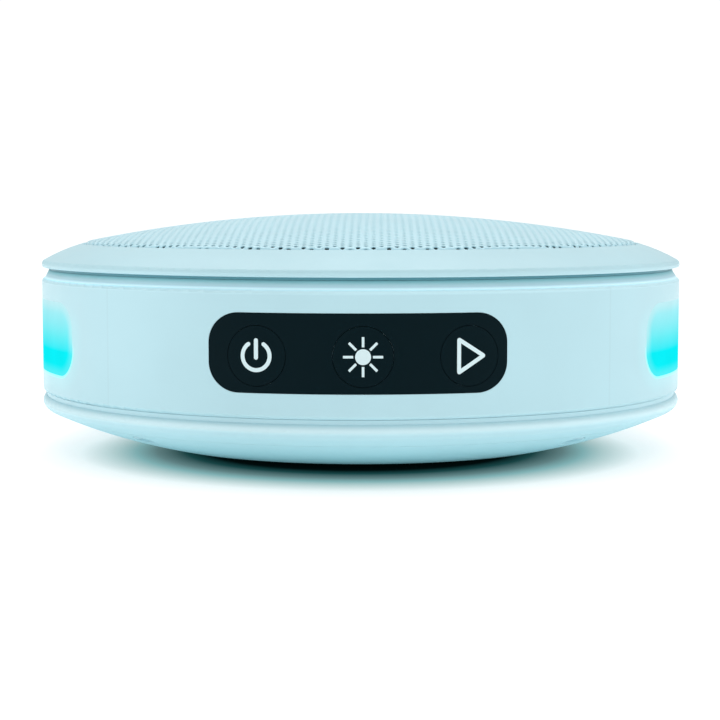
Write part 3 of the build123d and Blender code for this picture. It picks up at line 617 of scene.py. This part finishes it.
def perforated_sheet(name):
    """The grille: a hexagonal lattice of punched holes, laid over the dome and its rolled rim."""
    along, radius, level, out_r, out_z = grille_profile()
    sheet_end = along[-1]
    side = HOLE_PITCH / math.sqrt(3)
    count = int(sheet_end / (HOLE_PITCH * 0.8)) + 3
    columns, rows = np.meshgrid(np.arange(-count, count + 1), np.arange(-2 * count, 2 * count + 1))
    centre_u = (columns * HOLE_PITCH * math.sqrt(3) / 2).ravel()
    centre_v = ((rows + 0.5 * (columns % 2)) * HOLE_PITCH).ravel()
    cells = loop_points(centre_u, centre_v, side, 6)
    used = (np.linalg.norm(cells, axis=-1) < sheet_end - 0.02 * side).sum(axis=1) >= 2
    centre_u, centre_v, cells = centre_u[used], centre_v[used], cells[used]
    cells = cells * np.minimum(1.0, sheet_end / np.linalg.norm(cells, axis=-1))[..., None]
    rounded = np.round(cells.reshape(-1, 2) / WELD).astype(int)
    _, first, corner_index = np.unique(rounded, axis=0, return_index=True, return_inverse=True)
    corners = cells.reshape(-1, 2)[first]
    corner_index = corner_index.reshape(-1, 6)
    holed = np.hypot(centre_u, centre_v) < HOLES_END - HOLE_RADIUS
    total = int(holed.sum())
    outer_hole = loop_points(centre_u[holed], centre_v[holed], HOLE_RADIUS, OUTER_SIDES)
    # Paint narrows the foot of each punched hole on the crown; the stretched rim leaves them open
    opening = np.interp(
        np.hypot(centre_u[holed], centre_v[holed]),
        (CROWN_RADIUS - TAPER_BAND, CROWN_RADIUS),
        (HOLE_TAPER, 1.0),
    )
    inner_hole = loop_points(centre_u[holed], centre_v[holed], HOLE_RADIUS * opening[:, None], INNER_SIDES)

    def lay(flat, depth):
        """Points of the flat sheet on the pressed shape, at a depth below its outside."""
        reach = np.linalg.norm(flat, axis=1)
        outward = flat / np.maximum(reach, 1e-9)[:, None]
        across = np.interp(reach, along, radius) - depth * np.interp(reach, along, out_r)
        up = np.interp(reach, along, level) - depth * np.interp(reach, along, out_z)
        return np.column_stack([outward * across[:, None], up])

    groups = [
        lay(corners, 0.0),
        lay(outer_hole.reshape(-1, 2), 0.0),
        lay(corners, SHEET),
        lay(inner_hole.reshape(-1, 2), SHEET),
    ]
    starts = np.cumsum([0] + [len(group) for group in groups])
    outer_hole_index = starts[1] + np.arange(total * OUTER_SIDES).reshape(-1, OUTER_SIDES)
    inner_hole_index = starts[3] + np.arange(total * INNER_SIDES).reshape(-1, INNER_SIDES)

    faces = []

    def stitch(first_loops, second_loops, flip):
        """Adds the triangles between two loops of every holed cell."""
        loops = np.concatenate([first_loops, second_loops], axis=1)
        for face in between_loops(first_loops.shape[1], second_loops.shape[1]):
            order = face[::-1] if flip else face
            faces.extend(loops[:, order].tolist())

    stitch(corner_index[holed], outer_hole_index, flip=False)
    stitch(outer_hole_index, inner_hole_index, flip=False)
    stitch(starts[2] + corner_index[holed], inner_hole_index, flip=True)
    # Edges that only one cell has, kept in order, are the rim that joins outside and inside
    rims = {}
    for ring, cut in zip(corner_index.tolist(), holed.tolist(), strict=True):
        clean = [a for a, b in zip(ring, ring[1:] + ring[:1], strict=True) if a != b]
        if len(clean) < 3:
            continue
        if not cut:
            faces.append(clean)
            faces.append([starts[2] + a for a in reversed(clean)])
        for a, b in zip(clean, clean[1:] + clean[:1], strict=True):
            if (b, a) in rims:
                del rims[(b, a)]
            else:
                rims[(a, b)] = True
    faces.extend([b, a, starts[2] + a, starts[2] + b] for a, b in rims)

    mesh = bpy.data.meshes.new(name)
    mesh.from_pydata(np.concatenate(groups).tolist(), [], [[int(i) for i in face] for face in faces])
    mesh.shade_smooth()
    mesh.materials.append(materials["grille_paint"])
    piece = bpy.data.objects.new(name, mesh)
    bpy.context.scene.collection.objects.link(piece)
    return piece


sheet = perforated_sheet("perforated_grille")
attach(sheet, "enclosure")
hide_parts("grille")


# ---------------------------------------------------------------- studio


def soft_light(name, place, target, width, depth, power):
    """A rectangular soft box aimed at a point."""
    data = bpy.data.lights.new(name, "AREA")
    data.shape = "RECTANGLE"
    data.size = width
    data.size_y = depth
    data.energy = power
    light = bpy.data.objects.new(name, data)
    light.location = place
    light.rotation_euler = (Vector(target) - Vector(place)).to_track_quat("-Z", "Y").to_euler()
    bpy.context.scene.collection.objects.link(light)


middle = (cad_low + cad_high) / 2
soft_light("overhead_light", OVERHEAD_PLACE, middle, *OVERHEAD_SIZE, OVERHEAD_POWER)
across, back, up = SIDE_PLACE
for name, hand in (("left_light", -1), ("right_light", 1)):
    soft_light(name, (hand * across, back, up), middle, *SIDE_SIZE, SIDE_POWER)

world = bpy.data.worlds.new("white_room")
world.use_nodes = True
bpy.context.scene.world = world
room = world.node_tree
backdrop = room.nodes["Background"]
backdrop.inputs["Color"].default_value = WHITE
backdrop.inputs["Strength"].default_value = ROOM_LIGHT
seen = room.nodes.new("ShaderNodeBackground")
seen.inputs["Color"].default_value = WHITE
seen.inputs["Strength"].default_value = ROOM_SHOWN
path = room.nodes.new("ShaderNodeLightPath")
choose = room.nodes.new("ShaderNodeMixShader")
room.links.new(path.outputs["Is Camera Ray"], choose.inputs[0])
room.links.new(backdrop.outputs[0], choose.inputs[1])
room.links.new(seen.outputs[0], choose.inputs[2])
room.links.new(choose.outputs[0], room.nodes["World Output"].inputs["Surface"])

# The table: to the camera it is white with a painted contact shade, and to all other light it is
# plain white, with a glow that is pale teal close to the body
floor_mesh = bpy.data.meshes.new("floor")
table_corners = [(x * FLOOR_SPAN, y * FLOOR_SPAN, 0) for x, y in ((-1, -1), (1, -1), (1, 1), (-1, 1))]
floor_mesh.from_pydata(table_corners, [], [(0, 1, 2, 3)])
floor_look = Nodes("white_table")
reach = floor_look.vector("LENGTH", floor_look.place)
shift = floor_look.tree.nodes.new("ShaderNodeCombineXYZ")
ahead = floor_look.spread(
    floor_look.coordinates()[1], SHIFT_FRONT, SHIFT_BACK, SHADE_SHIFT, 0.0, smooth=True
)
floor_look.join(ahead, shift.inputs["Y"])
shade_reach = floor_look.vector("LENGTH", floor_look.vector("ADD", floor_look.place, shift.outputs[0]))
shade = floor_look.ramp(
    floor_look.spread(shade_reach, SHADE_CORE, SHADE_EDGE, 0.0, 1.0),
    (0.0, (0.0003, 0.002, 0.002, 1.0)),
    (0.1, (0.0005, 0.004, 0.004, 1.0)),
    (0.2, (0.0097, 0.058, 0.059, 1.0)),
    (0.335, (0.12, 0.216, 0.22, 1.0)),
    (0.435, (0.22, 0.42, 0.43, 1.0)),
    (0.53, (0.43, 0.58, 0.58, 1.0)),
    (0.71, (0.8, 0.88, 0.89, 1.0)),
    (0.85, (0.9, 0.93, 0.94, 1.0)),
    (1.0, WHITE),
)
paint = floor_look.mix(floor_look.noise(4.0), linear(240, 241, 241), linear(244, 244, 244))
seen_directly = floor_look.tree.nodes.new("ShaderNodeLightPath").outputs["Is Camera Ray"]
under_light = floor_look.spread(reach, *LIGHT_SETS_IN, 0.0, FLOOR_LIGHT, smooth=True)
bounce = floor_look.mix(floor_look.spread(reach, *LIGHT_WHITENS, 0.0, 1.0), PALE_TEAL, WHITE)
floor_look.set(
    Base_Color=floor_look.mix(seen_directly, paint, floor_look.mix(0.7, shade, BLACK)),
    Roughness=0.75,
    Specular_IOR_Level=0.0,
    Emission_Color=floor_look.mix(seen_directly, bounce, shade),
    Emission_Strength=floor_look.math(
        "ADD",
        floor_look.math("MULTIPLY", seen_directly, FLOOR_SHOWN),
        floor_look.math("MULTIPLY", floor_look.math("SUBTRACT", 1.0, seen_directly), under_light),
    ),
    Normal=floor_look.bump(floor_look.noise(1500.0), 0.01 * MM),
)
floor_mesh.materials.append(floor_look.material)
floor = bpy.data.objects.new("floor", floor_mesh)
bpy.context.scene.collection.objects.link(floor)

camera_data = bpy.data.cameras.new("camera")
camera_data.lens = CAMERA_LENS
camera_data.sensor_width = CAMERA_SENSOR
camera_data.shift_x = CAMERA_SHIFT
camera = bpy.data.objects.new("camera", camera_data)
camera.location = (
    CAMERA_DISTANCE * math.sin(CAMERA_TURN),
    -CAMERA_DISTANCE * math.cos(CAMERA_TURN),
    CAMERA_HEIGHT,
)
camera.rotation_euler = (math.pi / 2 - CAMERA_PITCH, 0.0, CAMERA_TURN)
bpy.context.scene.collection.objects.link(camera)
bpy.context.scene.camera = camera
bpy.context.scene.view_settings.view_transform = "Standard"
